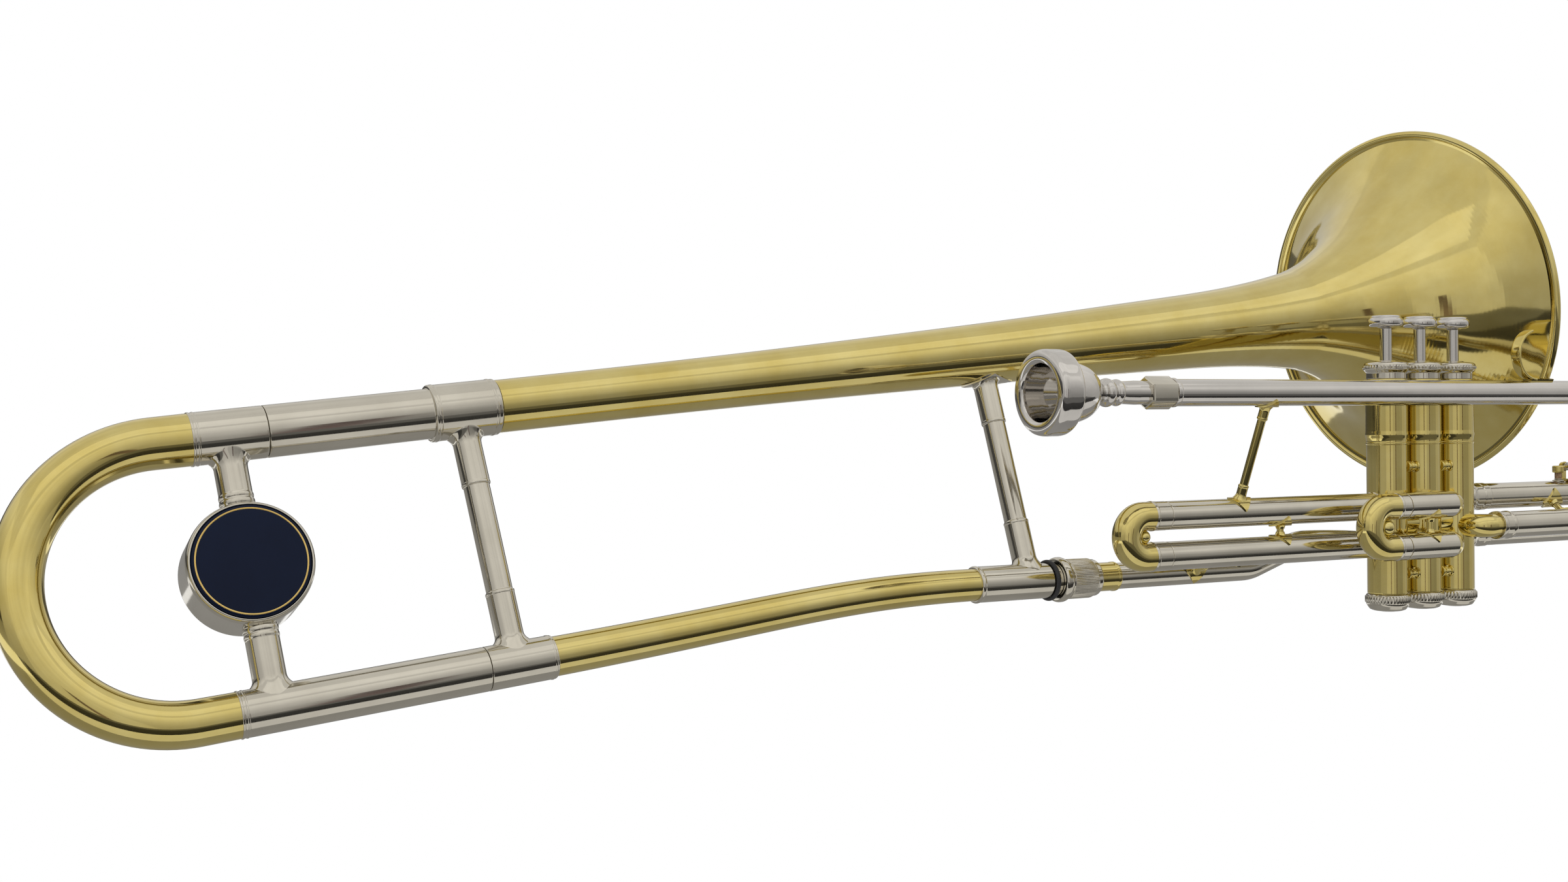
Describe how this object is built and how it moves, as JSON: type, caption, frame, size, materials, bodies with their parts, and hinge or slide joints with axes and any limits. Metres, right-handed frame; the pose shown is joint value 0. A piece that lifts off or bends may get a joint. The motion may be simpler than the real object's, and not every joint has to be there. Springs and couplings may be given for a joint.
{
  "type": "valve trombone",
  "caption": "Tenor valve trombone in lacquered brass and nickel silver, with piston valves, pull-out slides, a tuning slide with a balance weight, a water key and a mouthpiece.",
  "frame": {"origin": "On the axis of the middle valve at the height of the leadpipe, where the left hand grips the valve casings.", "axes": "+X along the pipes toward the open mouth of the bell, +Z along the pistons toward the finger buttons, +Y to the side where the bell hangs beside the valves."},
  "size_m": [1.1111, 0.2295, 0.2917],
  "materials": {
    "brass": "polished yellow brass under clear lacquer",
    "nickel": "polished nickel silver, slightly warm",
    "silver": "bright silver plate",
    "spring_steel": "plain drawn spring wire",
    "rubber": "smooth black rubber",
    "cork": "natural pressed cork",
    "enamel": "glossy dark navy enamel with a thin gold ring"
  },
  "bodies": {
    "instrument": {"bell": "brass", "neckpipe": "brass", "front_crook": "brass", "return_elbow": "brass", "return_strut": "brass", "slide1_brace": "brass", "slide2_outer_upper": "brass", "slide2_outer_lower": "brass", "slide2_brace": "brass", "leadpipe_brace": "brass", "exit_brace": "brass", "finger_hook": "brass", "water_key_bracket": "brass", "casing_1": "brass", "casing_2": "brass", "casing_3": "brass", "tuning_receiver": "nickel", "neck_male_tube": "nickel", "rear_brace": "nickel", "bell_brace": "nickel", "receiver": "nickel", "exit_tube": "nickel", "mouthpiece_receiver": "nickel", "return_tube": "nickel", "slide1_outer_upper": "nickel", "slide1_outer_lower": "nickel", "slide3_outer_upper": "nickel", "slide3_outer_lower": "nickel", "top_cap_1": "nickel", "top_cap_2": "nickel", "top_cap_3": "nickel", "bottom_cap_1": "nickel", "bottom_cap_2": "nickel", "bottom_cap_3": "nickel", "leadpipe": "silver", "valve_spring_1": "spring_steel", "valve_spring_2": "spring_steel", "valve_spring_3": "spring_steel", "water_key_spring": "spring_steel", "o_ring": "rubber"},
    "tuning_slide": {"tuning_bow": "brass", "tuning_leg_upper": "nickel", "tuning_sleeve_lower": "nickel", "balancer_stem_upper": "nickel", "balancer_stem_lower": "nickel", "balancer_weight": "nickel", "balancer_badge": "enamel"},
    "first_slide": {"slide1_moving": "brass"},
    "second_slide": {"slide2_moving": "brass"},
    "third_slide": {"slide3_moving": "brass"},
    "valve_1": {"piston_1": "nickel", "button_1": "silver"},
    "valve_2": {"piston_2": "nickel", "button_2": "silver"},
    "valve_3": {"piston_3": "nickel", "button_3": "silver"},
    "lock_nut": {"lock_nut": "nickel"},
    "mouthpiece": {"mouthpiece": "silver"},
    "water_key": {"water_key_lever": "brass", "water_key_cork": "cork"}
  },
  "joints": [
    {"name": "tuning_slide_pull", "type": "slide", "parent": "instrument", "child": "tuning_slide", "axis": [-0.9946, -0.0287, -0.0995], "range_m": [0, 0.05]},
    {"name": "first_slide_pull", "type": "slide", "parent": "instrument", "child": "first_slide", "axis": [-1, 0, 0], "range_m": [0, 0.06]},
    {"name": "second_slide_pull", "type": "slide", "parent": "instrument", "child": "second_slide", "axis": [-1, 0, 0], "range_m": [0, 0.016]},
    {"name": "third_slide_pull", "type": "slide", "parent": "instrument", "child": "third_slide", "axis": [1, 0, 0], "range_m": [0, 0.06]},
    {"name": "valve_1_press", "type": "slide", "parent": "instrument", "child": "valve_1", "axis": [0, 0, -1], "range_m": [0, 0.0165], "stiffness_N_per_m": 220, "springref_m": -0.012, "deforming": ["valve_spring_1"]},
    {"name": "valve_2_press", "type": "slide", "parent": "instrument", "child": "valve_2", "axis": [0, 0, -1], "range_m": [0, 0.0165], "stiffness_N_per_m": 220, "springref_m": -0.012, "deforming": ["valve_spring_2"]},
    {"name": "valve_3_press", "type": "slide", "parent": "instrument", "child": "valve_3", "axis": [0, 0, -1], "range_m": [0, 0.0165], "stiffness_N_per_m": 220, "springref_m": -0.012, "deforming": ["valve_spring_3"]},
    {"name": "lock_nut_turn", "type": "hinge", "parent": "instrument", "child": "lock_nut", "pos_m": [-0.2, 0.0399, -0.09165], "axis": [1, 0, 0], "continuous": true},
    {"name": "mouthpiece_pull", "type": "slide", "parent": "instrument", "child": "mouthpiece", "axis": [-1, 0, 0], "range_m": [0, 0.03]},
    {"name": "water_key_press", "type": "hinge", "parent": "instrument", "child": "water_key", "pos_m": [0.118, 0, -0.0413], "axis": [0, 1, 0], "range_deg": [0, 15], "stiffness_Nm_per_rad": 0.03, "springref_deg": -28.65}
  ]
}
